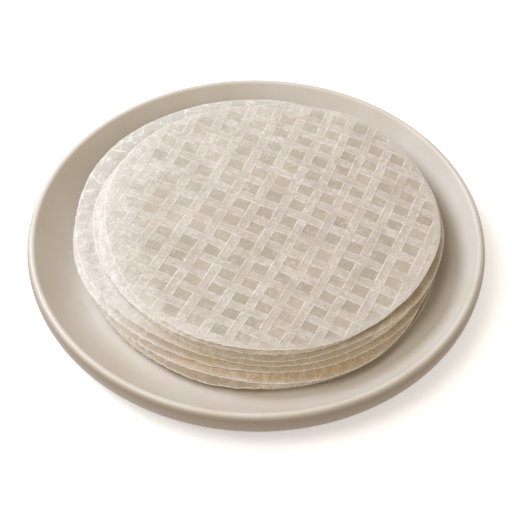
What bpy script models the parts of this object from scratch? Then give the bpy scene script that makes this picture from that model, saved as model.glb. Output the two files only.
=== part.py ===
"""Stack of dried rice paper wrappers on a round stoneware plate.

The plate is one turned solid: a flat well, a wall that rises in an easy curve to
a rounded lip, and a foot ring under the base. Eight round wrappers lie loosely on
each other in the well. Each is a thin disc, a little out of round, a little off
centre and gently warped, so the edges of the stack show one by one.

Units are metres, +Z is up. The origin is the centre of the plate's foot ring, on
the surface that the plate stands on. The front of the stack faces -Y.
"""

import math
from typing import NamedTuple

import bmesh
import bpy
from mathutils import Vector

# ---------------------------------------------------------------- plate sizes
PLATE_RADIUS = 0.145        # outside of the lip
PLATE_HEIGHT = 0.028        # table to the top of the lip
CREST_RADIUS = 0.1416       # where the lip is highest
LIP_INNER_RADIUS = 0.0024   # rounding between the inner wall and the crest
LIP_DROP = 0.006            # height of the wider rounding outside the crest
LIP_SLOPE = math.radians(52.0)  # slope of the inner wall where it runs into the lip
WELL_RADIUS = 0.113         # flat part of the well
WELL_HEIGHT = 0.0072        # top of the well above the table
BASE_HEIGHT = 0.0032        # underside of the plate outside the foot ring
BASE_RADIUS = 0.123         # where the wall's outer curve meets the underside
WALL_SQUARENESS = 2.2       # outer curve: 2 is an ellipse, more is squarer
BOWL_POWER = 1.7            # inner curve: the height grows with this power
FOOT_OUTER_RADIUS = 0.0945  # outside of the foot ring's flat face
FOOT_INNER_RADIUS = 0.0885  # inside of the foot ring's flat face
FOOT_EASE = 0.0005          # small rounding of the foot ring's corners
FOOT_FLARE = 0.0015         # the foot ring is wider at its root
RECESS_HEIGHT = 0.0022      # underside inside the foot ring
PLATE_SEGMENTS = 64         # facets round the plate
WALL_POINTS = 7             # points down each side of the wall
LIP_POINTS = 4              # points down each side of the lip

# -------------------------------------------------------------- wrapper sizes
WRAPPER_THICKNESS = 0.0006
LOWEST_WRAPPER_HEIGHT = 0.0095  # middle of the lowest wrapper above the table
WRAPPER_PITCH = 0.0034          # loose, warped wrappers lie this far apart
WRAPPER_SEGMENTS = 48           # facets round a wrapper
WRAPPER_RINGS = (0.0, 0.55, 0.82, 1.0)  # rings of a wrapper, as shares of its radius
WARP_POWER = 3.0                # the warp grows from the flat middle to the edge


class Wrapper(NamedTuple):
    """Place and shape of one wrapper, bottom one first.

    Each harmonic is (waves round the edge, size in metres, direction of one crest
    in degrees). outline harmonics push the edge outward, warp harmonics lift it.
    """

    centre: tuple
    radius: float
    outline: tuple
    warp: tuple


WRAPPERS = (
    Wrapper((0.0030, 0.0025), 0.1124,
            outline=((2, 0.0008, 0), (3, 0.0005, 40)),
            warp=((3, 0.0003, 105), (5, 0.0004, 48))),
    Wrapper((-0.0030, 0.0015), 0.1108,
            outline=((2, 0.0009, 129), (3, 0.0020, 39)),
            warp=((3, 0.0004, 85), (4, 0.0006, 32), (5, 0.0008, 0))),
    Wrapper((0.0010, -0.0005), 0.1110,
            outline=((2, 0.0011, 152), (3, 0.0022, 63)),
            warp=((1, 0.0004, 194), (3, 0.0005, 4), (4, 0.0004, 71), (5, 0.0005, 56))),
    Wrapper((0.0010, 0.0075), 0.1145,
            outline=((2, 0.0019, 171), (3, 0.0019, 68)),
            warp=((3, 0.0006, 117), (4, 0.0005, 56), (5, 0.0006, 6))),
    Wrapper((-0.0011, 0.0122), 0.1143,
            outline=((2, 0.0028, 131), (3, 0.0016, 74)),
            warp=((1, 0.0004, 135), (3, 0.0009, 7), (4, 0.0009, 57), (5, 0.0008, 12))),
    Wrapper((0.0095, 0.0078), 0.1087,
            outline=((2, 0.0004, 145), (3, 0.0007, 115)),
            warp=((3, 0.0004, 81), (4, 0.0006, 43), (5, 0.0008, 18))),
    Wrapper((0.0043, 0.0082), 0.1068,
            outline=((2, 0.0003, 36), (3, 0.0015, 48)),
            warp=((1, 0.0004, 297), (3, 0.0006, 90), (5, 0.0009, 36))),
    Wrapper((0.0093, 0.0081), 0.1065,
            outline=((2, 0.0005, 150), (3, 0.0014, 28), (4, 0.0008, 63), (5, 0.0006, 70)),
            warp=((1, 0.0003, 214), (3, 0.0006, 70), (5, 0.0012, 49))),
)

# ------------------------------------------------- colours (linear), roughness
GLAZE_COLOUR = (0.62, 0.55, 0.46, 1.0)
GLAZE_ROUGHNESS = 0.38
PAPER_COLOUR = (0.74, 0.68, 0.58, 1.0)
PAPER_ROUGHNESS = 0.55

COLLECTION_NAME = "rice_paper_wrapper_stack"


def clear_scene() -> None:
    """Remove every object that the file opened with."""
    for leftover in list(bpy.data.objects):
        bpy.data.objects.remove(leftover, do_unlink=True)


def make_material(name: str, colour: tuple, roughness: float) -> bpy.types.Material:
    """Make a plain non-metal Principled BSDF material."""
    material = bpy.data.materials.new(name)
    material.use_nodes = True
    shader = material.node_tree.nodes["Principled BSDF"]
    shader.inputs["Base Color"].default_value = colour
    shader.inputs["Roughness"].default_value = roughness
    shader.inputs["Metallic"].default_value = 0.0
    return material


def new_object(name: str, mesh: bpy.types.Mesh, collection: bpy.types.Collection) -> bpy.types.Object:
    """Put a mesh into the collection under its own name."""
    made = bpy.data.objects.new(name, mesh)
    collection.objects.link(made)
    return made


def profile_mesh(name: str, points: list) -> bpy.types.Mesh:
    """Make an open chain of edges in the XZ plane from (radius, height) points."""
    cage = bmesh.new()
    corners = [cage.verts.new((radius, 0.0, height)) for radius, height in points]
    for start, end in zip(corners, corners[1:]):
        cage.edges.new((start, end))
    mesh = bpy.data.meshes.new(name)
    cage.to_mesh(mesh)
    cage.free()
    return mesh


def add_screw(turned: bpy.types.Object, segments: int) -> None:
    """Turn a profile once round Z and weld it on the axis and at the seam."""
    screw = turned.modifiers.new("turn", "SCREW")
    screw.axis = "Z"
    screw.angle = math.tau
    screw.steps = segments
    screw.render_steps = segments
    screw.use_merge_vertices = True
    screw.merge_threshold = 0.00005
    screw.use_smooth_shade = True


def evaluated_mesh(source: bpy.types.Object) -> bpy.types.Mesh:
    """Return the object's mesh with its modifiers applied."""
    depsgraph = bpy.context.evaluated_depsgraph_get()
    return bpy.data.meshes.new_from_object(source.evaluated_get(depsgraph))


# ---------------------------------------------------------------------- plate
def steps(first: float, last: float, count: int) -> list:
    """Return count values evenly spaced from first to last, both included."""
    return [first + (last - first) * index / (count - 1) for index in range(count)]


def inner_wall() -> list:
    """Points up the easy curve from the well's edge to the lip."""
    reach = CREST_RADIUS - LIP_INNER_RADIUS * math.sin(LIP_SLOPE) - WELL_RADIUS
    rise = PLATE_HEIGHT - LIP_INNER_RADIUS * (1.0 - math.cos(LIP_SLOPE)) - WELL_HEIGHT
    return [(WELL_RADIUS + reach * share, WELL_HEIGHT + rise * share ** BOWL_POWER)
            for share in steps(0.0, 1.0, WALL_POINTS)]


def lip() -> list:
    """Points over the lip, without the two where it meets the walls."""
    inner = [(CREST_RADIUS - LIP_INNER_RADIUS * math.sin(a),
              PLATE_HEIGHT - LIP_INNER_RADIUS * (1.0 - math.cos(a)))
             for a in steps(LIP_SLOPE, 0.0, LIP_POINTS)[1:]]
    outer = [(CREST_RADIUS + (PLATE_RADIUS - CREST_RADIUS) * math.sin(a),
              PLATE_HEIGHT - LIP_DROP * (1.0 - math.cos(a)))
             for a in steps(0.0, math.pi / 2.0, LIP_POINTS + 1)[1:-1]]
    return inner + outer


def outer_wall() -> list:
    """Points down the squarish quarter curve from the lip to the underside."""
    spring = PLATE_HEIGHT - LIP_DROP
    reach = PLATE_RADIUS - BASE_RADIUS
    drop = spring - BASE_HEIGHT
    power = 2.0 / WALL_SQUARENESS
    points = []
    for a in steps(0.0, math.pi / 2.0, WALL_POINTS):
        along = max(math.cos(a), 0.0) ** power
        down = math.sin(a) ** power
        points.append((BASE_RADIUS + reach * along, spring - drop * down))
    return points


def foot_ring() -> list:
    """Points round the foot ring, from its outer root to its inner root."""
    return [
        (FOOT_OUTER_RADIUS + FOOT_EASE + FOOT_FLARE, BASE_HEIGHT),
        (FOOT_OUTER_RADIUS + FOOT_EASE, FOOT_EASE),
        (FOOT_OUTER_RADIUS, 0.0),
        (FOOT_INNER_RADIUS, 0.0),
        (FOOT_INNER_RADIUS - FOOT_EASE, FOOT_EASE),
        (FOOT_INNER_RADIUS - FOOT_EASE - FOOT_FLARE, RECESS_HEIGHT),
    ]


def build_plate(collection: bpy.types.Collection, material: bpy.types.Material) -> None:
    """Turn the plate's section: along the well, over the lip, back under the base."""
    points = [(0.0, WELL_HEIGHT)]
    points += inner_wall()
    points += lip()
    points += outer_wall()
    points += foot_ring()
    points.append((0.0, RECESS_HEIGHT))
    plate = new_object("plate", profile_mesh("plate_section", points), collection)
    add_screw(plate, PLATE_SEGMENTS)
    plate.data.materials.append(material)


# ------------------------------------------------------------------- wrappers
def harmonic_sum(harmonics: tuple, angle: float) -> float:
    """Add up (waves, size, direction) harmonics at an angle round the edge."""
    total = 0.0
    for waves, size, direction in harmonics:
        total += size * math.cos(waves * (angle - math.radians(direction)))
    return total


def shape_wrapper(mesh: bpy.types.Mesh, wrapper: Wrapper) -> None:
    """Push a flat unit disc out to the wrapper's uneven outline and warp it."""
    for vertex in mesh.vertices:
        share = vertex.co.xy.length
        angle = math.atan2(vertex.co.y, vertex.co.x)
        reach = (wrapper.radius + harmonic_sum(wrapper.outline, angle)) * share
        lift = harmonic_sum(wrapper.warp, angle) * share ** WARP_POWER
        vertex.co = Vector((reach * math.cos(angle), reach * math.sin(angle), lift))


def build_wrapper(number: int, wrapper: Wrapper, collection: bpy.types.Collection,
                  material: bpy.types.Material) -> None:
    """Make one wrapper: a turned disc, shaped, then thickened to a solid sheet."""
    unit_line = profile_mesh("wrapper_line", [(share, 0.0) for share in WRAPPER_RINGS])
    disc = new_object("wrapper_disc", unit_line, collection)
    add_screw(disc, WRAPPER_SEGMENTS)
    mesh = evaluated_mesh(disc)
    bpy.data.objects.remove(disc, do_unlink=True)
    mesh.name = f"wrapper_{number}"
    shape_wrapper(mesh, wrapper)
    mesh.materials.clear()
    mesh.materials.append(material)

    sheet = new_object(f"wrapper_{number}", mesh, collection)
    height = LOWEST_WRAPPER_HEIGHT + WRAPPER_PITCH * (number - 1)
    sheet.location = (wrapper.centre[0], wrapper.centre[1], height)
    solidify = sheet.modifiers.new("thickness", "SOLIDIFY")
    solidify.thickness = WRAPPER_THICKNESS
    solidify.offset = 0.0


def main() -> None:
    """Build the plate and its wrappers."""
    clear_scene()
    collection = bpy.data.collections.new(COLLECTION_NAME)
    bpy.context.scene.collection.children.link(collection)
    glaze = make_material("matt_glazed_stoneware", GLAZE_COLOUR, GLAZE_ROUGHNESS)
    build_plate(collection, glaze)
    for number, wrapper in enumerate(WRAPPERS, start=1):
        paper = make_material(f"dried_rice_paper_{number}", PAPER_COLOUR, PAPER_ROUGHNESS)
        build_wrapper(number, wrapper, collection, paper)


main()
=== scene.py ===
"""Looks of a stack of dried rice paper wrappers that lies on a stoneware plate.

The plate is turned from one section. Each wrapper is a thin sheet that dried on a
woven bamboo mat: the mat's flat strips left a raised plain-weave imprint in it, and
its margin dried first, so it is whiter and crinkled there. The wrappers' outlines
and warps come from the frame, and everything finer is worked out here.
"""

import logging
import math
from dataclasses import dataclass, field
from enum import Enum

import bpy
import numpy as np
from mathutils import Matrix, Vector
from mathutils.geometry import delaunay_2d_cdt


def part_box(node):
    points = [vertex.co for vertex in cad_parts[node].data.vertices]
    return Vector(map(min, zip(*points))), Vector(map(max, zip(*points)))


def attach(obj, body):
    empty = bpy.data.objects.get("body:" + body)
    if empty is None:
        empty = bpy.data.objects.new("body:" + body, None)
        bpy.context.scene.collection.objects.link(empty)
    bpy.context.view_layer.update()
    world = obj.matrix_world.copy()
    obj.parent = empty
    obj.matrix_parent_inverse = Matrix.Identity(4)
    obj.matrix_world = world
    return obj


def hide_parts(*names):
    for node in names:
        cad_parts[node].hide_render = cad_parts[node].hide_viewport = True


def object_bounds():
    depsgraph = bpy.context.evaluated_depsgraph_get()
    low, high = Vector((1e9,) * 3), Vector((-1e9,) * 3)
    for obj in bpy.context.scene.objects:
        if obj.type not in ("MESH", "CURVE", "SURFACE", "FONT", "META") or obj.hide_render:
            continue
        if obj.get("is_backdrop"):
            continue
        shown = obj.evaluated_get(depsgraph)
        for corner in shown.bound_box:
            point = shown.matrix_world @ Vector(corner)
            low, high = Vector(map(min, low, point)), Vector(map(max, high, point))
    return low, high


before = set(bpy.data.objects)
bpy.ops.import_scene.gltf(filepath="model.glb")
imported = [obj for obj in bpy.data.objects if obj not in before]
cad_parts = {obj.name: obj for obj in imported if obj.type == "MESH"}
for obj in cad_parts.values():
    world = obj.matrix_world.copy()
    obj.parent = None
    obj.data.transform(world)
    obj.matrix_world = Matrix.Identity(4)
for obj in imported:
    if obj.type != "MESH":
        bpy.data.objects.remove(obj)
CAD_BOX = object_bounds()

LOG = logging.getLogger("rice_paper_stack")
MM = 0.001
Socket = bpy.types.NodeSocket
SMOOTH = {"interpolation_type": "SMOOTHSTEP"}  # makes a MapRange node ease in and out
BLEND = {"output": 2, "data_type": "RGBA"}  # makes a Mix node mix colours


# ---- small helpers
def linear(hex_colour: str) -> tuple[float, float, float, float]:
    """Turn an sRGB hex colour into linear values.

    Args:
        hex_colour: Six hex digits after a hash, such as "#d8cfc2".

    Returns:
        Linear red, green, blue and an alpha of 1.
    """
    channels = [int(hex_colour[place:place + 2], 16) / 255.0 for place in (1, 3, 5)]
    bent = [c / 12.92 if c <= 0.04045 else ((c + 0.055) / 1.055) ** 2.4 for c in channels]
    return (*bent, 1.0)


def smooth_step(low: float, high: float, value: np.ndarray) -> np.ndarray:
    """Ease from 0 at low to 1 at high.

    Args:
        low: Where the step starts.
        high: Where the step ends. It may be less than low.
        value: The places to read the step at.

    Returns:
        The step's height at each place.
    """
    share = np.clip((value - low) / (high - low), 0.0, 1.0)
    return share * share * (3.0 - 2.0 * share)


def mesh_piece(name: str, points: np.ndarray, faces: list) -> bpy.types.Object:
    """Make a smooth-shaded object from points and faces and link it to the scene.

    Args:
        name: The piece's name.
        points: One row of x, y, z in metres for each vertex.
        faces: Vertex numbers for each face.

    Returns:
        The new object, at the origin.
    """
    mesh = bpy.data.meshes.new(name)
    mesh.from_pydata(points.tolist(), [], faces)
    mesh.shade_smooth()
    mesh.update()
    piece = bpy.data.objects.new(name, mesh)
    bpy.context.scene.collection.objects.link(piece)
    return piece


def write_attribute(piece: bpy.types.Object, name: str, values: np.ndarray) -> None:
    """Give every point of a piece a value or, from rows of three, a vector.

    Args:
        piece: The piece to write on.
        name: The attribute's name.
        values: One value or row for each vertex.
    """
    spatial = values.ndim == 2
    attribute = piece.data.attributes.new(name, "FLOAT_VECTOR" if spatial else "FLOAT", "POINT")
    attribute.data.foreach_set("vector" if spatial else "value", values.astype(np.float32).ravel())


def dress(piece: bpy.types.Object, node: str, finish: bpy.types.Material) -> None:
    """Give a piece its finish and tie it to the frame.

    Args:
        piece: The piece to dress.
        node: The CAD node that it replaces.
        finish: Its material.
    """
    piece.data.materials.append(finish)
    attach(piece, "root")
    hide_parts(node)
    LOG.info("%s: %d faces", piece.name, len(piece.data.polygons))


class Waves:
    """A seeded sum of cosine waves round a closed edge, for uneven outlines and crinkles."""

    def __init__(self, seed: int, counts: range, size: float, fall: float) -> None:
        """Draw the waves.

        Args:
            seed: Start of the random draw.
            counts: How many times each wave goes round the edge.
            size: Root mean square height of the sum.
            fall: How fast the height falls with the count; 0 keeps all alike.
        """
        draw = np.random.default_rng(seed)
        self.counts = np.array(list(counts), float)
        self.phases = draw.uniform(0.0, math.tau, len(self.counts))
        sizes = draw.uniform(0.4, 1.0, len(self.counts)) * self.counts ** -fall
        self.sizes = sizes * size / math.sqrt(float((sizes ** 2).sum()) / 2.0)

    def at(self, angles: np.ndarray) -> np.ndarray:
        """Return the sum of the waves at each angle, in radians."""
        turns = angles[..., None] * self.counts + self.phases
        return (np.cos(turns) * self.sizes).sum(-1)


class Clouds:
    """A seeded sum of plane waves over a flat sheet, for soft patches of about -1 to 1."""

    def __init__(self, seed: int, shortest: float, longest: float, count: int = 10) -> None:
        """Draw the waves.

        Args:
            seed: Start of the random draw.
            shortest: Shortest wavelength in metres.
            longest: Longest wavelength in metres.
            count: Number of waves.
        """
        draw = np.random.default_rng(seed)
        bearings = draw.uniform(0.0, math.tau, count)
        lengths = draw.uniform(shortest, longest, count)
        self.waves = np.stack([np.cos(bearings), np.sin(bearings)]) * math.tau / lengths
        self.phases = draw.uniform(0.0, math.tau, count)

    def at(self, places: np.ndarray) -> np.ndarray:
        """Return the sum at each row of x, y in metres."""
        return np.sin(places @ self.waves + self.phases).sum(-1) / math.sqrt(len(self.phases))


def facing(angles: np.ndarray, towards: float, power: float = 1.0) -> np.ndarray:
    """Return 1 where an angle points towards a bearing, falling to 0 a quarter turn away."""
    return np.clip(np.cos(angles - towards), 0.0, 1.0) ** power


# ---- materials
class Shader:
    """A Principled BSDF material and its nodes."""

    def __init__(self, name: str) -> None:
        """Start a material with a bare Principled BSDF.

        Args:
            name: The material's name.
        """
        self.material = bpy.data.materials.new(name)
        self.material.use_nodes = True
        self.tree = self.material.node_tree
        self.surface = self.tree.nodes["Principled BSDF"]

    def add(self, kind: str, links: dict, output: str | int = 0, **settings: object) -> Socket:
        """Add a node with its settings and links.

        Inputs may be given by number, because some share a name: a MapRange takes its
        value as 0, the limits it reads as 1 and 2 and what they turn into as 3 and 4,
        and a colour Mix takes its share as 0 and its colours as 6 and 7.

        Args:
            kind: Blender's name of the node type, after "ShaderNode".
            links: Value, hex colour or socket for each input, by name or number.
            output: The output to hand back.
            **settings: Properties to set on the node.

        Returns:
            The chosen output socket.
        """
        node = self.tree.nodes.new("ShaderNode" + kind)
        for name, value in settings.items():
            setattr(node, name, value)
        self._feed(node, links)
        return node.outputs[output]

    def _feed(self, node: bpy.types.Node, links: dict) -> None:
        """Set a node's inputs; a hex colour is turned into linear values.

        Args:
            node: The node to feed.
            links: Value, hex colour or socket for each input, by name or number.
        """
        for name, value in links.items():
            if isinstance(value, Socket):
                self.tree.links.new(value, node.inputs[name])
            else:
                node.inputs[name].default_value = linear(value) if isinstance(value, str) else value

    def finish(self, links: dict) -> bpy.types.Material:
        """Set the Principled BSDF's inputs and return the finished material."""
        self._feed(self.surface, links)
        return self.material


@dataclass(frozen=True)
class GlazedStoneware:
    """Fired stoneware under a satin glaze: warm grey-beige, even, faintly mottled.

    The eye sees a soft broad highlight on the lip, a slight cloudiness in the well
    and a few faint iron specks. Outside the lip a darker taupe is painted shade,
    which darkens the outer side of the lip and the outer wall. The shader reads
    the points' outside attribute for that.
    """

    glaze: str = "#d0c7bd"
    cloud: str = "#cabfb1"
    speck: str = "#a3937f"
    # Painted shade: a darker taupe over the outside of the lip and the outer wall.
    painted_shade_taupe: str = "#847360"
    roughness: float = 0.42
    ior: float = 1.5
    cloud_size: float = 34.0 * MM
    speck_spacing: float = 9.0 * MM
    speck_radius: float = 0.45 * MM
    speck_strength: float = 0.45
    ripple_size: float = 6.0 * MM
    ripple_depth: float = 0.12 * MM

    def build(self) -> bpy.types.Material:
        """Build the glaze's shader.

        Returns:
            The glaze as a material.
        """
        shader = Shader("satin_glazed_stoneware")
        add = shader.add
        place = add("TexCoord", {}, "Object")
        cloud = add("TexNoise", {"Vector": place, "Scale": 1.0 / self.cloud_size, "Detail": 4.0})
        cloudy = add("MapRange", {0: cloud, 1: 0.35, 2: 0.7})
        body = add("Mix", {0: cloudy, 6: self.glaze, 7: self.cloud}, **BLEND)
        cell = add("TexVoronoi", {"Vector": place, "Scale": 1.0 / self.speck_spacing}, "Distance")
        faded = self.speck_radius / self.speck_spacing
        dot = add("MapRange", {0: cell, 1: faded, 2: faded / 2.0, 4: self.speck_strength}, **SMOOTH)
        colour = add("Mix", {0: dot, 6: body, 7: self.speck}, **BLEND)
        # Painted shade over the outside, by the share in the outside attribute.
        outside = add("Attribute", {}, "Fac", attribute_name="outside")
        colour = add("Mix", {0: outside, 6: colour, 7: self.painted_shade_taupe}, **BLEND)
        ripple = add("TexNoise", {"Vector": place, "Scale": 1.0 / self.ripple_size, "Detail": 2.0})
        bump = add("Bump", {"Height": ripple, "Strength": 0.25, "Distance": self.ripple_depth})
        return shader.finish({
            "Base Color": colour, "Roughness": self.roughness, "Normal": bump, "IOR": self.ior,
        })


@dataclass(frozen=True)
class StripLook:
    """How one family of the mat's strips shows in the film."""

    over: float       # 1 if it lies over the other family where both counts are even, or else -1
    weakest: float    # tone of its faintest strip
    strongest: float  # tone of its clearest strip
    bead: float       # strength of its beads


@dataclass(frozen=True)
class DriedRicePaper:
    """Starch batter steamed to a film and dried on a bamboo mat.

    Where a strip of the mat lay, the film is thicker and milky, with a thin bright
    bead along both sides of the strip. Between the strips it is clearer and lets
    the dimmer sheet below show, so it looks darker. A strip that dips under another
    leaves little mark. The margin is smooth and cool where it is clear, and frosted
    white where it dried first. Part of the colour is painted light: a painted shadow
    on the lee side of each strip, a tan painted shade in the margin between the
    sheets, warm as if the light had come through many sheets, a white painted glow
    on the lower sheets' shaded right side, and a bright painted highlight along the rim.
    """

    clear: str = "#b0a697"
    clear_warm: str = "#b6a99a"
    milky: str = "#c2b9b0"
    grain: str = "#d5ccc4"
    bead: str = "#e6dfd6"
    # Painted shadow: a darker line on the lee side of each strip.
    lee_shadow: str = "#a99b8b"
    margin: str = "#c8c0b8"
    frost: str = "#d4cbc3"
    frost_grain: str = "#e8e1d9"
    cool: str = "#c7c4be"
    # Painted shade: tan between the sheets, warm as if light had come through many sheets.
    tan: str = "#b29b7b"
    # Painted highlight: the bright line along the rim. The same colour is used for the folds in the icy
    # margin.
    rim: str = "#f0e9dd"
    roughness: float = 0.5
    ior: float = 1.45
    subsurface: float = 0.9
    subsurface_depth: float = 1.0 * MM
    subsurface_spread: tuple[float, float, float] = (1.0, 0.97, 0.92)
    blotch_size: float = 7.0 * MM
    patch_size: float = 4.5 * MM
    grain_size: float = 1.5 * MM
    grain_depth: float = 0.2 * MM
    wobble_size: float = 3.0 * MM
    wobble: float = 0.07
    streak_width: float = 0.6 * MM
    streak_length: float = 7.0 * MM
    streak_strength: float = 0.7
    crease_size: float = 9.0 * MM
    crack_strength: float = 0.3
    # Strength of the painted lee shadow.
    lee_shadow_strength: float = 0.3
    margin_strength: float = 0.5
    # Strength of the rim's painted highlight.
    edge_strength: float = 0.9
    warp: StripLook = StripLook(over=1.0, weakest=0.66, strongest=1.0, bead=0.9)
    weft: StripLook = StripLook(over=-1.0, weakest=0.58, strongest=0.92, bead=0.6)

    def build(self, mat: "BambooMat") -> bpy.types.Material:
        """Return the paper as a material.

        Args:
            mat: The mat that the wrappers dried on, for the sizes of its weave.

        Returns:
            A material that reads the points' weave, rim_mm, imprint, frost, cool and the tan painted
            shade's share.
        """
        shader = PaperShader(self, mat)
        return shader.finish({
            "Base Color": shader.colour(), "Normal": shader.bump(),
            "Roughness": self.roughness, "IOR": self.ior,
            "Subsurface Weight": self.subsurface, "Subsurface Radius": self.subsurface_spread,
            "Subsurface Scale": self.subsurface_depth,
        })


class PaperShader(Shader):
    """The rice paper's layers, and the attributes, noises and masks that they share."""

    def __init__(self, paper: DriedRicePaper, mat: "BambooMat") -> None:
        """Add what the layers share. Frost and ice are thinner in patches.

        Args:
            paper: The colours and sizes of the finish.
            mat: The mat, for the sizes of its weave.
        """
        super().__init__("mat_dried_rice_paper")
        self.paper = paper
        add = self.add
        place = self.place = add("TexCoord", {}, "Object")
        self.grain = add("TexNoise", {"Vector": place, "Scale": 1.0 / paper.grain_size, "Detail": 3.0})
        self.patch = add("TexNoise", {"Vector": place, "Scale": 1.0 / paper.patch_size, "Detail": 4.0,
                                      "Distortion": 0.8})
        thick = add("MapRange", {0: self.patch, 1: 0.3, 2: 0.6, 3: 0.55, 4: 1.0})
        self.rim, self.imprint, self.tan, frost, cool = (
            add("Attribute", {}, "Fac", attribute_name=name)
            for name in ("rim_mm", "imprint", "tan", "frost", "cool")
        )
        # The frost share also carries painted glow on the lower sheets' right side.
        self.frost = add("Math", {0: frost, 1: thick}, operation="MULTIPLY")
        self.cool = add("Math", {0: cool, 1: thick}, operation="MULTIPLY")
        self.crease = self._creases()
        self.body, self.line, self.lee_shadow, self.tone, streak = self._strips(mat)
        self.rough = add("Math", {0: streak, 1: paper.streak_strength, 2: self.grain},
                         operation="MULTIPLY_ADD")

    def colour(self) -> Socket:
        """Lay all layers on the clear film.

        Returns:
            The sheet's colour.
        """
        sheet = self._lines(self._margins(self._imprinted(self._film())))
        shade = self.add("MapRange", {0: self.rough, 1: 0.4, 2: 1.1, 3: 0.95, 4: 1.045})
        return self.add("VectorMath", {0: sheet, "Scale": shade}, operation="SCALE")

    def bump(self) -> Socket:
        """Return the fine relief of the grain and of the folds in the icy margin."""
        folded = self.add("Math", {0: self.crease, 1: self.cool, 2: self.grain}, operation="MULTIPLY_ADD")
        return self.add("Bump", {"Height": folded, "Strength": 0.5, "Distance": self.paper.grain_depth})

    def _film(self) -> Socket:
        """Colour the clear film: warm in blotches, with a shade of its own in each cell.

        Returns:
            The film's colour.
        """
        add, paper = self.add, self.paper
        blotch = add("TexNoise", {"Vector": self.place, "Scale": 1.0 / paper.blotch_size, "Detail": 2.0})
        warm = add("MapRange", {0: blotch, 1: 0.4, 2: 0.62})
        film = add("Mix", {0: warm, 6: paper.clear, 7: paper.clear_warm}, **BLEND)
        weave = add("Attribute", {}, "Vector", attribute_name="weave")
        cell = add("VectorMath", {0: weave}, operation="FLOOR")
        lot = add("TexWhiteNoise", {"Vector": cell}, "Value")
        shade = add("MapRange", {0: lot, 3: 0.92, 4: 1.07})
        return add("VectorMath", {0: film, "Scale": shade}, operation="SCALE")

    def _imprinted(self, film: Socket) -> Socket:
        """Lay the milky strips, and a painted shadow on each strip's lee side, on the clear film.

        Args:
            film: The clear film's colour.

        Returns:
            The sheet's colour.
        """
        add, paper = self.add, self.paper
        granular = add("MapRange", {0: self.rough, 1: 0.68, 2: 1.0})
        milk = add("Mix", {0: granular, 6: paper.milky, 7: paper.grain}, **BLEND)
        patchy = add("MapRange", {0: self.patch, 1: 0.36, 2: 0.56, 3: 0.5, 4: 1.0})
        veil = add("MapRange", {0: self.patch, 1: 0.52, 2: 0.7, 3: 0.0, 4: 0.55})
        faint = add("MapRange", {0: self.imprint, 3: 0.25, 4: 1.0})
        body, lee_shadow = self.body, self.lee_shadow
        for factor in (self.tone, patchy):
            body = add("Math", {0: body, 1: factor}, operation="MULTIPLY")
        body = add("Math", {0: body, 1: veil}, operation="MAXIMUM")
        body = add("Math", {0: body, 1: faint}, operation="MULTIPLY")
        # Painted shadow on each strip's lee side, fainter where the imprint is faint.
        for factor in (self.imprint, paper.lee_shadow_strength):
            lee_shadow = add("Math", {0: lee_shadow, 1: factor}, operation="MULTIPLY")
        sheet = add("Mix", {0: body, 6: film, 7: milk}, **BLEND)
        return add("Mix", {0: lee_shadow, 6: sheet, 7: paper.lee_shadow}, **BLEND)

    def _margins(self, sheet: Socket) -> Socket:
        """Lay the plain margin, the frost, the ice and the tan painted shade on the sheet, in that order.
        The frost also carries painted glow.

        Args:
            sheet: The sheet's colour so far.

        Returns:
            The sheet's colour.
        """
        add, paper = self.add, self.paper
        specks = add("MapRange", {0: self.grain, 1: 0.45, 2: 0.66})
        white = add("Math", {0: specks, 1: self.crease}, operation="MAXIMUM")
        near_rim = add("MapRange", {0: self.rim, 1: 7.0, 2: 2.0, 4: paper.margin_strength}, **SMOOTH)
        # Painted shade: the tan deepens inwards from the rim, under the rim of the sheet above.
        inside = add("MapRange", {0: self.rim, 1: 0.5, 2: 3.2, 3: 0.5, 4: 1.0})
        tan_shade_share = add("Math", {0: self.tan, 1: inside}, operation="MULTIPLY")
        frosted = add("Mix", {0: white, 6: paper.frost, 7: paper.frost_grain}, **BLEND)
        icy = add("Mix", {0: self.crease, 6: paper.cool, 7: paper.rim}, **BLEND)
        layers = ((near_rim, paper.margin), (self.frost, frosted), (self.cool, icy), (tan_shade_share, paper.tan))
        for share, colour in layers:
            sheet = add("Mix", {0: share, 6: sheet, 7: colour}, **BLEND)
        return sheet

    def _lines(self, sheet: Socket) -> Socket:
        """Draw the thin bright lines: the beads, the cracks in the tan painted shade and the rim's painted
        highlight.

        Args:
            sheet: The sheet's colour so far.

        Returns:
            The sheet's colour.
        """
        add, paper = self.add, self.paper
        broken = add("MapRange", {0: self.patch, 1: 0.34, 2: 0.56, 3: 0.25, 4: 1.0})
        pale = add("MapRange", {0: self.tan, 3: 1.0, 4: 0.6})
        bare = add("MapRange", {0: self.frost, 2: 0.6, 3: 1.0, 4: 0.6})
        edge_breaks = add("MapRange", {0: self.grain, 1: 0.4, 2: 0.58, 3: 0.45, 4: 1.0})
        # Painted highlight: a bright line along the rim stands in for light caught in the thin cut edge,
        # broken up by the grain and fainter where frosted.
        edge = add("MapRange", {0: self.rim, 1: 0.5, 2: 0.12, 4: paper.edge_strength}, **SMOOTH)
        masks = []
        for mask, factors in (
            (self.line, (broken, self.imprint, pale)), (self.crease, (self.tan, paper.crack_strength)),
            (edge, (bare, edge_breaks)),
        ):
            for factor in factors:
                mask = add("Math", {0: mask, 1: factor}, operation="MULTIPLY")
            masks.append(mask)
        beads, cracks, edge = masks
        line = add("Math", {0: beads, 1: cracks}, operation="MAXIMUM")
        sheet = add("Mix", {0: line, 6: sheet, 7: paper.bead}, **BLEND)
        return add("Mix", {0: edge, 6: sheet, 7: paper.rim}, **BLEND)

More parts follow.
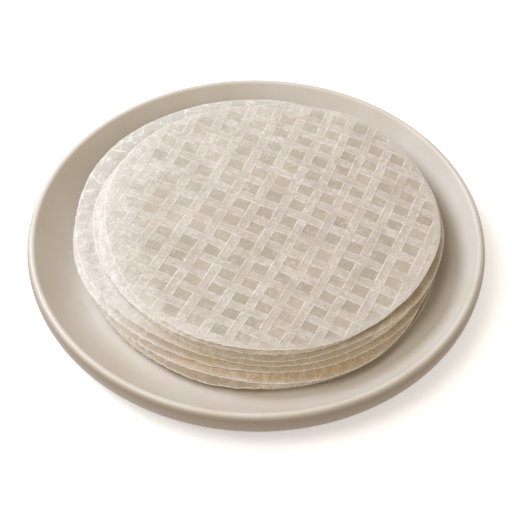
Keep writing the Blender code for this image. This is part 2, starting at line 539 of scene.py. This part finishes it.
    def _strips(self, mat: "BambooMat") -> list[Socket]:
        """Draw the marks of both families of strips from the weave attribute.

        Args:
            mat: The mat, for its strip width and spacings.

        Returns:
            Masks of the strips' bodies, beads, painted lee shadows, tones and streaks.
        """
        add, paper = self.add, self.paper
        weave = add("Attribute", {}, "Vector", attribute_name="weave")
        wobble = add("TexNoise", {"Vector": self.place, "Scale": 1.0 / paper.wobble_size, "Detail": 3.0},
                     "Color")
        wobble = add("VectorMath", {0: wobble, 1: (0.5, 0.5, 0.5)}, operation="SUBTRACT")
        wobble = add("VectorMath", {0: wobble, 1: (paper.wobble, paper.wobble, 0.0)}, operation="MULTIPLY")
        weave = add("VectorMath", {0: weave, 1: wobble}, operation="ADD")
        warp = add("SeparateXYZ", {0: weave})
        weft = warp.node.outputs[1]
        half = mat.strip_width / 2.0 / MM
        families = (
            self._family(paper.warp, 0, (warp, weft), (mat.warp.pitch, mat.weft.pitch), half),
            self._family(paper.weft, 1, (weft, warp), (mat.weft.pitch, mat.warp.pitch), half),
        )
        return [add("Math", {0: one, 1: other}, operation="MAXIMUM") for one, other in zip(*families)]

    def _family(self, look: StripLook, turn: int, counts: tuple[Socket, Socket],
                pitches: tuple[float, float], half: float) -> list[Socket]:
        """Draw the marks of one family of strips, with distances in millimetres.

        Args:
            look: How the family shows.
            turn: 0 for the warp and 1 for the weft, so that their random draws differ.
            counts: The strip counts of this family and of the other.
            pitches: Spacing of this family and of the other, in metres.
            half: Half a strip's width in millimetres.

        Returns:
            The same masks as _strips.
        """
        add = self.add
        (count, other), (pitch, other_pitch) = counts, pitches
        number = add("Math", {0: count}, operation="ROUND")
        offset = add("Math", {0: count, 1: number}, operation="SUBTRACT")
        offset = add("Math", {0: offset, 1: pitch / MM}, operation="MULTIPLY")
        distance = add("Math", {0: offset}, operation="ABSOLUTE")
        band = add("MapRange", {0: distance, 1: half + 0.2, 2: half - 0.2}, **SMOOTH)
        stripes = []
        # The first stripe is the bead along both sides; the second is a painted shadow half a millimetre
        # outside the strip, on one side only.
        for place, middle, wide, narrow, strength in (
            (distance, half - 0.2, 0.45, 0.12, look.bead), (offset, half + 0.5, 0.6, 0.1, 1.0),
        ):
            away = add("Math", {0: place, 1: middle}, operation="SUBTRACT")
            away = add("Math", {0: away}, operation="ABSOLUTE")
            stripes.append(add("MapRange", {0: away, 1: wide, 2: narrow, 4: strength}, **SMOOTH))
        line, lee_shadow = stripes

        # Swing is 1 where the strip lies over the other family and -1 where it dips under.
        swing = look.over
        for whole in (number, other):
            turned = add("Math", {0: whole, 1: math.pi}, operation="MULTIPLY")
            turned = add("Math", {0: turned}, operation="COSINE")
            swing = add("Math", {0: turned, 1: swing}, operation="MULTIPLY")
        pressed = add("MapRange", {0: swing, 1: -0.95, 2: -0.66, 3: 0.6, 4: 1.0}, **SMOOTH)
        sharp = add("MapRange", {0: swing, 1: -0.85, 2: -0.6}, **SMOOTH)

        along = add("Math", {0: other, 1: other_pitch / self.paper.streak_length}, operation="MULTIPLY")
        across = add("Math", {0: count, 1: pitch / self.paper.streak_width}, operation="MULTIPLY")
        fibre = add("CombineXYZ", {0: along, 1: across, 2: 17.0 * turn})
        streak = add("TexNoise", {"Vector": fibre, "Scale": 1.0, "Detail": 2.0})
        lot = add("CombineXYZ", {0: number, 1: 31.0 * turn})
        lot = add("TexWhiteNoise", {"Vector": lot}, "Value")
        tone = add("MapRange", {0: lot, 3: look.weakest, 4: look.strongest})
        pairs = ((band, pressed), (line, sharp), (lee_shadow, sharp), (tone, band), (streak, pressed))
        return [add("Math", {0: mark, 1: factor}, operation="MULTIPLY") for mark, factor in pairs]

    def _creases(self) -> Socket:
        """Draw thin broken creases, which are the borders between Voronoi cells of two sizes.

        Returns:
            A mask of the creases.
        """
        add, size = self.add, self.paper.crease_size
        gaps = add("TexNoise", {"Vector": self.place, "Scale": 1.0 / size, "Detail": 2.0})
        creases = []
        for share, stretch in ((1.0, (1.0, 0.45, 1.0)), (0.6, (0.4, 1.0, 1.0))):
            pulled = add("VectorMath", {0: self.place, 1: stretch}, operation="MULTIPLY")
            edge = add("TexVoronoi", {"Vector": pulled, "Scale": 1.0 / (size * share)}, "Distance",
                       feature="DISTANCE_TO_EDGE")
            creases.append(add("MapRange", {0: edge, 1: 0.045, 2: 0.008}, **SMOOTH))
        crease = add("Math", {0: creases[0], 1: creases[1]}, operation="MAXIMUM")
        broken = add("MapRange", {0: gaps, 1: 0.4, 2: 0.52})
        return add("Math", {0: crease, 1: broken}, operation="MULTIPLY")


@dataclass(frozen=True)
class OpalTable:
    """Cast opal acrylic, sanded matt and lit evenly from below, which softens shadows on it."""

    acrylic: str = "#fafafa"
    shade: str = "#f7f7f7"
    roughness: float = 0.9
    light: str = "#f5f7fb"
    glow: float = 0.42
    cloud_size: float = 166.7 * MM

    def build(self) -> bpy.types.Material:
        """Build the acrylic's shader.

        Returns:
            The acrylic as a material.
        """
        shader = Shader("sanded_opal_acrylic")
        add = shader.add
        place = add("TexCoord", {}, "Object")
        cloud = add("TexNoise", {"Vector": place, "Scale": 1.0 / self.cloud_size, "Detail": 2.0})
        colour = add("Mix", {0: cloud, 6: self.acrylic, 7: self.shade}, **BLEND)
        return shader.finish({
            "Base Color": colour, "Roughness": self.roughness,
            "Emission Color": self.light, "Emission Strength": self.glow,
        })


# ---- plate
@dataclass
class Plate:
    """A round plate with a flat well, an easily curved wall, a rounded lip and a foot ring."""

    crest_radius: float = 141.6 * MM
    lip_inner_radius: float = 2.4 * MM
    lip_drop: float = 6.0 * MM
    lip_slope: float = math.radians(52.0)
    well_radius: float = 113.0 * MM
    well_height: float = 7.2 * MM
    base_radius: float = 123.0 * MM
    base_height: float = 3.2 * MM
    bowl_power: float = 1.7
    wall_squareness: float = 2.2
    foot_outer: float = 94.5 * MM
    foot_inner: float = 88.5 * MM
    foot_ease: float = 0.5 * MM
    foot_flare: float = 1.5 * MM
    recess_height: float = 2.2 * MM
    # Lip angles over which the painted shade on the outside grows in.
    outside_shade_angles: tuple[float, float] = (math.radians(8.0), math.radians(66.0))
    segments: int = 256
    well_points: int = 9
    bowl_points: int = 26
    crest_points: int = 8
    lip_points: int = 14
    wall_points: int = 22
    outer_radius: float = field(init=False)
    height: float = field(init=False)

    def __post_init__(self) -> None:
        """Read the plate's overall size from the frame."""
        low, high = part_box("plate")
        self.outer_radius = (high.x - low.x) / 2.0
        self.height = high.z - low.z

    def section(self) -> list[tuple[float, float, float]]:
        """Return the section along the well, over the lip and back under the base.

        Returns:
            Radius, height and the share of the painted shade on the outside at each point.
        """
        reach = self.crest_radius - self.lip_inner_radius * math.sin(self.lip_slope) - self.well_radius
        rise = self.height - self.lip_inner_radius * (1.0 - math.cos(self.lip_slope)) - self.well_height
        points = [(0.0, self.well_height, 0.0)]
        for radius in np.linspace(0.2, 0.97, self.well_points) * self.well_radius:
            points.append((float(radius), self.well_height, 0.0))
        for share in np.linspace(0.0, 1.0, self.bowl_points):
            height = self.well_height + rise * share ** self.bowl_power
            points.append((self.well_radius + reach * share, height, 0.0))
        for angle in np.linspace(self.lip_slope, 0.0, self.crest_points)[1:]:
            points.append((self.crest_radius - self.lip_inner_radius * math.sin(angle),
                           self.height - self.lip_inner_radius * (1.0 - math.cos(angle)), 0.0))
        # Past the crest the painted shade grows over the outer side of the lip; the outer wall and the foot
        # below carry it in full.
        for angle in np.linspace(0.0, math.pi / 2.0, self.lip_points)[1:-1]:
            points.append((self.crest_radius + (self.outer_radius - self.crest_radius) * math.sin(angle),
                           self.height - self.lip_drop * (1.0 - math.cos(angle)),
                           float(smooth_step(*self.outside_shade_angles, angle))))
        spring = self.height - self.lip_drop
        power = 2.0 / self.wall_squareness
        for angle in np.linspace(0.0, math.pi / 2.0, self.wall_points):
            along = max(math.cos(angle), 0.0) ** power
            down = math.sin(angle) ** power
            points.append((self.base_radius + (self.outer_radius - self.base_radius) * along,
                           spring - (spring - self.base_height) * down, 1.0))
        outer, inner, ease = self.foot_outer, self.foot_inner, self.foot_ease
        flare = ease + self.foot_flare
        foot = (
            (outer + flare, self.base_height), (outer + ease, ease), (outer, 0.0),
            (inner, 0.0), (inner - ease, ease), (inner - flare, self.recess_height),
            (0.0, self.recess_height),
        )
        return points + [(radius, height, 1.0) for radius, height in foot]

    def build(self) -> bpy.types.Object:
        """Turn the section round the plate's axis.

        Returns:
            The plate as one closed mesh.
        """
        section = self.section()
        angles = np.arange(self.segments) * math.tau / self.segments
        rings = np.array(section[1:-1])
        turned = np.stack([
            np.outer(rings[:, 0], np.cos(angles)),
            np.outer(rings[:, 0], np.sin(angles)),
            np.repeat(rings[:, 1:2], self.segments, axis=1),
        ], axis=-1).reshape(-1, 3)
        points = np.vstack([turned, [[0.0, 0.0, section[0][1]], [0.0, 0.0, section[-1][1]]]])
        top_middle, under_middle = len(turned), len(turned) + 1
        faces = []
        last = len(turned) - self.segments
        for start in range(0, last, self.segments):
            for step in range(self.segments):
                beside = (step + 1) % self.segments
                faces.append((start + step, start + self.segments + step,
                              start + self.segments + beside, start + beside))
        for step in range(self.segments):
            beside = (step + 1) % self.segments
            faces.append((top_middle, step, beside))
            faces.append((under_middle, last + beside, last + step))
        piece = mesh_piece("stoneware_plate", points, faces)
        piece.data.set_sharp_from_angle(angle=math.radians(40.0))
        # Share of the painted shade on the outside at each point; none at the well's middle and full under
        # the base.
        outside = np.append(np.repeat(rings[:, 2], self.segments), [0.0, 1.0])
        write_attribute(piece, "outside", outside)
        return piece


# ---- wrappers
class MeshDetail(Enum):
    """Distances from the middle of a strip at which mesh lines run, in half strip widths."""

    FINE = (0.0, 0.55, 0.8, 0.92, 1.04, 1.18, 1.55)
    COARSE = (0.0, 0.85, 1.1, 1.7)


@dataclass(frozen=True)
class StripFamily:
    """Parallel flat strips of a mat, counted across, that lean, bow and drift a little."""

    pitch: float
    start: float
    lean: float
    bow: float
    drift: float
    drift_length: float
    drift_start: float

    def _drifted(self, plain: np.ndarray) -> np.ndarray:
        """Return how far the strips' uneven spacing moves a place."""
        return self.drift * np.sin(math.tau * (plain - self.drift_start) / self.drift_length)

    def place(self, count: np.ndarray, along: np.ndarray) -> np.ndarray:
        """Return the place across the strips.

        Args:
            count: Strip count, whole at the middle of each strip.
            along: Place along the strips in metres.

        Returns:
            The place across in metres.
        """
        plain = self.start + self.pitch * count
        return plain + self._drifted(plain) + self.lean * along + self.bow * along * along

    def count(self, across: np.ndarray, along: np.ndarray) -> np.ndarray:
        """Return the strip count at a place; the inverse of place.

        Args:
            across: Place across the strips in metres.
            along: Place along the strips in metres.

        Returns:
            The strip count, whole at the middle of each strip.
        """
        straight = across - self.lean * along - self.bow * along * along
        plain = straight
        for _ in range(12):
            plain = straight - self._drifted(plain)
        return (plain - self.start) / self.pitch


@dataclass(frozen=True)
class BambooMat:
    """The plain-woven mat of flat strips that the wrappers dried on.

    Warp strips run roughly along the mat's Y and are counted along X. Weft strips
    run roughly along X and are counted along Y. Strip 0 of both is near the origin.
    """

    warp: StripFamily = StripFamily(
        pitch=16.3 * MM, start=2.6 * MM, lean=-0.05, bow=-0.0004 / MM,
        drift=1.3 * MM, drift_length=151.0 * MM, drift_start=-33.0 * MM,
    )
    weft: StripFamily = StripFamily(
        pitch=14.1 * MM, start=8.4 * MM, lean=-0.019, bow=-0.00017 / MM,
        drift=1.6 * MM, drift_length=124.0 * MM, drift_start=-1.2 * MM,
    )
    strip_width: float = 6.2 * MM
    strip_height: float = 0.18 * MM
    shoulder: tuple[float, float] = (0.35 * MM, -0.25 * MM)
    bead_height: float = 0.12 * MM
    bead_inset: float = 0.35 * MM
    bead_width: float = 0.4 * MM
    dip: float = 0.25

    def crossing(self, warp: np.ndarray, weft: np.ndarray) -> tuple[np.ndarray, np.ndarray]:
        """Place points that are given by their strip counts.

        Args:
            warp: Count along X, whole at the middle of each warp strip.
            weft: Count along Y, whole at the middle of each weft strip.

        Returns:
            x and y in metres.
        """
        x = np.zeros_like(warp)
        for _ in range(5):
            y = self.weft.place(weft, x)
            x = self.warp.place(warp, y)
        return x, y

    def counts(self, x: np.ndarray, y: np.ndarray) -> tuple[np.ndarray, np.ndarray]:
        """Return the warp and weft counts at places; the inverse of crossing."""
        return self.warp.count(x, y), self.weft.count(y, x)

    def relief(self, warp: np.ndarray, weft: np.ndarray) -> np.ndarray:
        """Work out the height of the imprint over the film.

        Args:
            warp: Count along X.
            weft: Count along Y.

        Returns:
            Heights in metres.
        """
        heights = []
        half = self.strip_width / 2.0
        for count, other, family, sign in ((warp, weft, self.warp, 1.0), (weft, warp, self.weft, -1.0)):
            number = np.round(count)
            distance = np.abs(count - number) * family.pitch
            plateau = smooth_step(half + self.shoulder[0], half + self.shoulder[1], distance)
            bead = np.exp(-((distance - half + self.bead_inset) / self.bead_width) ** 2)
            swing = sign * np.cos(math.pi * other) * (1.0 - 2.0 * (number % 2.0))
            height = self.strip_height * plateau + self.bead_height * bead
            heights.append(height * (1.0 - self.dip + self.dip * swing))
        return np.maximum(heights[0], heights[1])


@dataclass
class Drying:
    """How one sheet dried: how much of the mat's imprint and which colours its margin has.

    Frost whitens the margin on one side to a reach in metres. Haze is a thinner frost
    that covers one half of the sheet; on the lower sheets' right side it is painted
    glow that lightens bands in shade. Cool is the share of clear icy crystal in the
    outermost millimetres. Tan is the strength of the tan painted shade on the near
    side, where the sheets shade each other.
    """

    imprint: float = 0.35
    frost: float = 0.7
    frost_reach: float = 16.0 * MM
    # Share of a thinner frost over half the sheet; on the lower sheets' right side it is painted glow on
    # bands in shade.
    haze_and_glow: float = 0.0
    cool: float = 0.0
    # Strength of the tan painted shade on the near side.
    tan: float = 0.8
    frost_towards: float = math.radians(186.0)
    haze_and_glow_towards: float = math.radians(118.0)
    cool_towards: float = math.radians(130.0)
    shade_tan_towards: float = math.radians(-70.0)
    least_reach: float = 2.5 * MM
    least_frost: float = 0.15
    haze_and_glow_from: tuple[float, float] = (5.0 * MM, 75.0 * MM)
    cool_within: tuple[float, float] = (11.0 * MM, 6.0 * MM)
    shade_tan_from: tuple[float, float] = (0.3, 0.88)

    def shares(self, angles: np.ndarray, room: np.ndarray, flat: np.ndarray,
               patches: np.ndarray) -> dict[str, np.ndarray]:
        """Work out how much of each look every point has.

        Args:
            angles: Directions from the sheet's centre.
            room: Distance inwards from the rim in metres.
            flat: Places relative to the sheet's centre.
            patches: Soft patches of about -1 to 1, which make each look uneven.

        Returns:
            Shares from 0 to 1 for the imprint, frost, cool and tan painted shade attributes. The frost
            share also carries painted glow on the lower sheets' right side.
        """
        early = facing(angles, self.frost_towards, 1.3)
        reach = (self.least_reach + self.frost_reach * early) * (1.0 + 0.35 * patches)
        frost = smooth_step(1.0, 0.15, room / np.maximum(reach, 0.5 * MM))
        frost = frost * (self.least_frost + (1.0 - self.least_frost) * early) * self.frost
        far = flat @ np.array([math.cos(self.haze_and_glow_towards), math.sin(self.haze_and_glow_towards)])
        # Painted light where the haze lies on the lower sheets' shaded right side; it joins the frost
        # share.
        haze_and_glow = self.haze_and_glow * smooth_step(*self.haze_and_glow_from, far) * (1.0 + 0.5 * patches)
        frost = np.maximum(frost, haze_and_glow)
        icy = smooth_step(*self.cool_within, room * (1.0 + 0.2 * patches))
        imprint = self.imprint * np.clip(0.85 + 0.3 * patches, 0.3, 1.0) * (1.0 - 0.5 * frost)
        return {
            "imprint": imprint * smooth_step(0.0, 3.0 * MM, room),
            "frost": frost,
            "cool": icy * facing(angles, self.cool_towards, 1.5) * self.cool,
            # Painted shade: tan on the near side of the stack.
            "tan": smooth_step(*self.shade_tan_from, np.cos(angles - self.shade_tan_towards)) * self.tan,
        }


@dataclass
class Wrapper:
    """One dried wrapper: a wavy thin sheet with the mat's imprint."""

    number: int
    mat: BambooMat
    drying: Drying
    weave_turn: float
    weave_shift: tuple[float, float]
    detail: MeshDetail
    above: "Wrapper | None" = None
    rest_height: float = 7.2 * MM
    clearance: float = 0.25 * MM
    gape: float = 2.0 * MM
    slope_reach: float = 6.0 * MM
    slope_power: float = 1.9
    steepest_reach: float = 0.3 * MM
    thickness: float = 0.6 * MM
    rim_thickness: float = 0.3 * MM
    rim_taper: float = 0.8 * MM
    rim_starts: float = 0.92
    relief_fade: float = 2.5 * MM
    warp_power: int = 3
    crinkle_power: int = 18
    rim_points: int = 720
    point_gap: float = 0.3 * MM
    mesh_reach: float = 130.0 * MM
    unevenness: float = 0.13 * MM
    nibs: float = 0.17 * MM
    nibs_towards: float = math.radians(-140.0)
    crinkle: float = 0.06 * MM
    harmonics: int = 6
    rim_rings: tuple[float, ...] = (0.0, 0.3 * MM, 0.7 * MM, 1.1 * MM, 1.6 * MM, 2.1 * MM, 2.7 * MM)
    slope_rings: tuple[float, ...] = (
        -4.9 * MM, -3.9 * MM, -3.0 * MM, -2.2 * MM, -1.5 * MM, -0.9 * MM, -0.4 * MM, 0.1 * MM,
    )

    def __post_init__(self) -> None:
        """Read the sheet's outline and warp from its CAD node."""
        self.node = f"wrapper_{self.number}"
        cos, sin = math.cos(self.weave_turn), math.sin(self.weave_turn)
        self.turned = np.array([[cos, sin], [-sin, cos]])
        low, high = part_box(self.node)
        self.centre = np.array([(low.x + high.x) / 2.0, (low.y + high.y) / 2.0])
        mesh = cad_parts[self.node].data
        points = np.array([vertex.co for vertex in mesh.vertices])
        flat = points[:, :2] - self.centre
        reach = np.hypot(flat[:, 0], flat[:, 1])
        on_rim = reach > self.rim_starts * reach.max()
        angles = np.arctan2(flat[on_rim, 1], flat[on_rim, 0])
        terms = self._terms(angles)
        self.radius_terms = np.linalg.lstsq(terms, reach[on_rim], rcond=None)[0]
        self.height_terms = np.linalg.lstsq(terms, points[on_rim, 2], rcond=None)[0]
        seed = self.number
        self.outline_waves = Waves(seed=100 + seed, counts=range(8, 36), size=self.unevenness, fall=1.0)
        self.nib_waves = Waves(seed=150 + seed, counts=range(40, 140), size=self.nibs, fall=0.3)
        self.crinkle_waves = Waves(seed=200 + seed, counts=range(10, 48), size=self.crinkle, fall=0.6)
        self.patches = Clouds(seed=300 + seed, shortest=9.0 * MM, longest=45.0 * MM)

    def _terms(self, angles: np.ndarray) -> np.ndarray:
        """Work out the Fourier terms up to the sheet's number of harmonics.

        Args:
            angles: Directions from the sheet's centre.

        Returns:
            Columns of 1, then of cos and sin of each multiple of the angle.
        """
        columns = [np.ones_like(angles)]
        for count in range(1, self.harmonics + 1):
            columns += [np.cos(count * angles), np.sin(count * angles)]
        return np.stack(columns, axis=-1)

    def radius(self, angles: np.ndarray) -> np.ndarray:
        """Return the sheet's uneven radius at each angle."""
        nibs = self.nib_waves.at(angles) * (0.2 + 0.8 * facing(angles, self.nibs_towards))
        return self._terms(angles) @ self.radius_terms + self.outline_waves.at(angles) + nibs

    def ring(self, angles: np.ndarray, inset: float) -> np.ndarray:
        """Return rows of x, y round the sheet's centre, an inset in metres inside its rim."""
        reach = self.radius(angles) - inset
        return np.stack([reach * np.cos(angles), reach * np.sin(angles)], axis=-1)

    def middle_height(self, angles: np.ndarray, share: np.ndarray) -> np.ndarray:
        """Return the height of the sheet's middle surface, before its relief.

        Args:
            angles: Directions from the sheet's centre.
            share: Distance from the centre as a share of the radius.

        Returns:
            Heights in metres.
        """
        flat_height = self.height_terms[0]
        warp = self._terms(angles) @ self.height_terms - flat_height
        crinkle = self.crinkle_waves.at(angles) * (0.5 + 0.5 * facing(angles, self.nibs_towards))
        return flat_height + warp * share ** self.warp_power + crinkle * share ** self.crinkle_power

    def _layout(self) -> tuple[np.ndarray, list]:
        """Lay out the sheet's points in the plane and join them with triangles.

        Returns:
            Points relative to the sheet's centre, rim first, and the triangles.
        """
        angles = np.arange(self.rim_points) * math.tau / self.rim_points
        rings = [self.ring(angles, inset) for inset in self.rim_rings]
        lines = [self._mesh_lines(family.pitch) for family in (self.mat.warp, self.mat.weft)]
        warp, weft = np.meshgrid(*lines)
        x, y = self.mat.crossing(warp.ravel(), weft.ravel())
        inner = np.stack([x, y], axis=-1) @ self.turned + self.weave_shift
        if self.above is not None:
            over = [self.above.ring(angles, inset) for inset in self.slope_rings]
            inner = np.vstack([inner, np.vstack(over) + self.above.centre - self.centre])
        reach = np.hypot(inner[:, 0], inner[:, 1])
        room = self.radius(np.arctan2(inner[:, 1], inner[:, 0])) - reach
        inner = inner[room > self.rim_rings[-1] + self.point_gap]
        points = np.vstack([*rings, inner])
        rim = list(range(self.rim_points))
        laid = delaunay_2d_cdt([Vector(p / MM) for p in points], [], [rim], 1, 1e-6)
        if len(laid[0]) != len(points):
            raise RuntimeError(f"{self.node}: the layout lost or gained points")
        return np.array([tuple(p) for p in laid[0]]) * MM, [tuple(face) for face in laid[2]]

    def _mesh_lines(self, pitch: float) -> np.ndarray:
        """Choose where mesh lines run: at the strips and halfway between them.

        Args:
            pitch: Spacing of the family's strips in metres.

        Returns:
            Strip counts.
        """
        half = self.mat.strip_width / 2.0
        near = np.array(self.detail.value) * half / pitch
        offsets = np.unique(np.concatenate([-near, near, [0.5]]))
        strips = int(math.ceil(self.mesh_reach / pitch))
        return (np.arange(-strips, strips + 1)[:, None] + offsets).ravel()

    def _counts(self, flat: np.ndarray) -> tuple[np.ndarray, np.ndarray]:
        """Return the mat's strip counts at places in the sheet's own plane."""
        on_mat = (flat - self.weave_shift) @ self.turned.T
        return self.mat.counts(on_mat[:, 0], on_mat[:, 1])

    def surfaces(self, place: np.ndarray) -> tuple[np.ndarray, np.ndarray, np.ndarray]:
        """Return the thin sheet's top and underside and the distance to its rim.

        Args:
            place: Rows of world x, y.

        Returns:
            Two heights, and the distance inwards from the rim, all in metres.
        """
        flat = place - self.centre
        angles = np.arctan2(flat[:, 1], flat[:, 0])
        radius = self.radius(angles)
        room = radius - np.hypot(flat[:, 0], flat[:, 1])
        relief = self.mat.relief(*self._counts(flat)) * smooth_step(0.0, self.relief_fade, room)
        full = smooth_step(0.0, self.rim_taper, room)
        thickness = self.rim_thickness + (self.thickness - self.rim_thickness) * full
        share = 1.0 - np.maximum(room, 0.0) / radius
        top = self.middle_height(angles, share) + relief + thickness / 2.0
        return top, top - thickness, room

    def _settle(self, place: np.ndarray) -> tuple[np.ndarray, np.ndarray, np.ndarray]:
        """Close the hollows inside the stack, where the thin sheets lie apart.

        Beside the sheet above, the top slopes up to that sheet's rim. The underside of
        the lowest sheet slopes down to the plate.

        Args:
            place: Rows of world x, y.

        Returns:
            The same three as surfaces.
        """
        top, under, room = self.surfaces(place)
        if self.above is None:
            return top, under, room
        _, over, over_room = self.above.surfaces(place)
        reach = np.clip(room - over_room, self.steepest_reach, self.slope_reach)
        share = np.clip(1.0 + over_room / reach, 0.0, 1.0) ** self.slope_power
        rise = np.maximum(over - top - self.clearance, 0.0) * share * smooth_step(0.0, 0.4 * MM, room)
        if self.number == 1:
            drop = under - self.rest_height - self.clearance
            under = under - drop * smooth_step(self.gape * 0.5, self.gape, room)
        return top + rise, under, room

    def build(self) -> bpy.types.Object:
        """Make the sheet as a closed mesh with a top, an underside and a rim.

        Returns:
            The sheet, with the point attributes that its finish reads.
        """
        flat, triangles = self._layout()
        angles = np.arctan2(flat[:, 1], flat[:, 0])
        place = flat + self.centre
        height, under, room = self._settle(place)
        room = np.maximum(room, 0.0)
        count = len(flat)
        faces = list(triangles)
        faces += [(a + count, c + count, b + count) for a, b, c in triangles]
        for step in range(self.rim_points):
            beside = (step + 1) % self.rim_points
            faces.append((step, step + count, beside + count, beside))
        points = np.vstack([np.column_stack([place, height]), np.column_stack([place, under])])
        piece = mesh_piece(f"rice_wrapper_{self.number}", points, faces)
        looks = {"weave": np.column_stack([*self._counts(flat), np.zeros(count)]), "rim_mm": room / MM}
        looks.update(self.drying.shares(angles, room, flat, self.patches.at(flat)))
        for name, values in looks.items():
            write_attribute(piece, name, np.concatenate([values, values]))
        return piece


@dataclass
class WrapperStack:
    """The eight wrappers, bottom one first."""

    mat: BambooMat
    seed: int = 7
    top_shift: tuple[float, float] = (-1.0 * MM, 2.0 * MM)
    shift_range: float = 7.0 * MM
    weave_turns: tuple[float, ...] = (-20.0, 35.0, -17.0, -31.0, -12.0, -38.0, -22.0, -25.8)
    # Each sheet's tan is the strength of its painted shade.
    dryings: tuple[Drying, ...] = (
        Drying(imprint=0.4, frost_reach=14.0 * MM, tan=0.6),
        Drying(imprint=0.4, frost_reach=16.0 * MM, tan=0.9),
        Drying(imprint=0.9, frost_reach=12.0 * MM, tan=1.0),
        Drying(imprint=0.3, frost_reach=16.0 * MM, tan=0.95),
        Drying(imprint=0.25, frost_reach=28.0 * MM, cool=0.9, tan=0.8),
        # Sheets 6 and 7: the haze on their right side is painted glow, lightening bands in shade.
        Drying(imprint=0.25, frost_reach=22.0 * MM, cool=0.3, tan=0.7,
               haze_and_glow=0.7, haze_and_glow_towards=math.radians(-15.0)),
        Drying(imprint=0.3, frost_reach=26.0 * MM, cool=0.3, tan=0.55,
               haze_and_glow=0.9, haze_and_glow_towards=math.radians(-15.0)),
        Drying(imprint=1.0, frost=0.75, frost_reach=34.0 * MM, cool=0.1, tan=0.0,
               haze_and_glow=0.3, haze_and_glow_towards=math.radians(130.0), frost_towards=math.radians(172.0)),
    )

    def build(self, finish: bpy.types.Material) -> None:
        """Build and dress every wrapper.

        Args:
            finish: The rice paper material.
        """
        draw = np.random.default_rng(self.seed)
        last = len(self.weave_turns)
        above = None
        sheets = list(zip(range(1, last + 1), self.weave_turns, self.dryings))
        for number, turn, drying in reversed(sheets):
            on_top = number == last
            shift = self.top_shift if on_top else tuple(draw.uniform(-1.0, 1.0, 2) * self.shift_range)
            above = Wrapper(
                number=number, mat=self.mat, drying=drying,
                weave_turn=math.radians(turn), weave_shift=shift,
                detail=MeshDetail.FINE if on_top else MeshDetail.COARSE, above=above,
            )
            dress(above.build(), above.node, finish)


# ---- studio
@dataclass(frozen=True)
class SoftLight:
    """A round softbox aimed at the plate's middle."""

    name: str
    bearing: float
    elevation: float
    size: float
    power: float
    colour: str
    distance: float = 1.7

    def build(self) -> None:
        """Hang the light."""
        bearing, height = math.radians(self.bearing), math.radians(self.elevation)
        towards = Vector((math.cos(bearing) * math.cos(height), math.sin(bearing) * math.cos(height),
                          math.sin(height)))
        lamp = bpy.data.lights.new(self.name, "AREA")
        lamp.shape = "DISK"
        lamp.size = self.size
        lamp.energy = self.power
        lamp.color = linear(self.colour)[:3]
        hung = bpy.data.objects.new(self.name, lamp)
        hung.location = towards * self.distance
        hung.rotation_mode = "QUATERNION"
        hung.rotation_quaternion = (-towards).to_track_quat("-Z", "Y")
        bpy.context.scene.collection.objects.link(hung)


@dataclass
class Studio:
    """A white table, soft lights on the left, warm open light all round, and the camera."""

    camera_distance: float = 1.0345
    camera_elevation: float = 48.8
    camera_lens: float = 112.5
    camera_roll: float = 0.744
    camera_lift: float = 0.197
    lights: tuple[SoftLight, ...] = (
        SoftLight("softbox_back_left", 150.0, 42.0, 0.9, 23.0, "#dce9ff"),
        SoftLight("softbox_front_left", 210.0, 60.0, 0.9, 8.6, "#fcffff"),
        SoftLight("softbox_overhead", 180.0, 80.0, 0.9, 2.4, "#ffffff"),
    )
    sky_colour: str = "#fff2db"
    sky_strength: float = 0.56
    floor_size: float = 6.0

    def build_floor(self) -> None:
        """Lay the floor that the plate stands on."""
        half = self.floor_size / 2.0
        corners = np.array([[-half, -half, 0.0], [half, -half, 0.0], [half, half, 0.0], [-half, half, 0.0]])
        floor = mesh_piece("studio_floor", corners, [(0, 1, 2, 3)])
        floor.data.materials.append(OpalTable().build())
        floor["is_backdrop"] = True

    def build_sky(self) -> None:
        """Open the even light that comes from all round."""
        world = bpy.data.worlds.new("open_sky")
        world.use_nodes = True
        background = world.node_tree.nodes["Background"]
        background.inputs["Color"].default_value = linear(self.sky_colour)
        background.inputs["Strength"].default_value = self.sky_strength
        bpy.context.scene.world = world

    def build_camera(self) -> None:
        """Set the camera in front of the plate, looking down at its middle."""
        height = math.radians(self.camera_elevation)
        place = Vector((0.0, -math.cos(height), math.sin(height))) * self.camera_distance
        turn = (-place).to_track_quat("-Z", "Y").to_matrix().to_4x4()
        lifted = Matrix.Rotation(math.radians(self.camera_lift), 4, "X")
        rolled = Matrix.Rotation(math.radians(self.camera_roll), 4, "Z")
        lens = bpy.data.cameras.new("camera")
        lens.lens = self.camera_lens
        lens.sensor_width = 36.0
        lens.dof.use_dof = False
        camera = bpy.data.objects.new("camera", lens)
        camera.matrix_world = Matrix.Translation(place) @ turn @ rolled @ lifted
        bpy.context.scene.collection.objects.link(camera)
        bpy.context.scene.camera = camera

    def build(self) -> None:
        """Set up the whole studio."""
        self.build_floor()
        self.build_sky()
        for light in self.lights:
            light.build()
        self.build_camera()
        bpy.context.scene.view_settings.view_transform = "Standard"
        LOG.info("studio is set")


def write_size() -> None:
    """Work out the CAD box and the visual model's box."""
    boxes = {"cad": CAD_BOX, "visual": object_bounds()}
    {name: [list(low), list(high)] for name, (low, high) in boxes.items()}


def main() -> None:
    """Build the plate, the wrappers and the studio."""
    logging.basicConfig(level=logging.INFO, format="%(name)s: %(message)s")
    dress(Plate().build(), "plate", GlazedStoneware().build())
    mat = BambooMat()
    WrapperStack(mat).build(DriedRicePaper().build(mat))
    Studio().build()
    write_size()


if __name__ == "__main__":
    main()
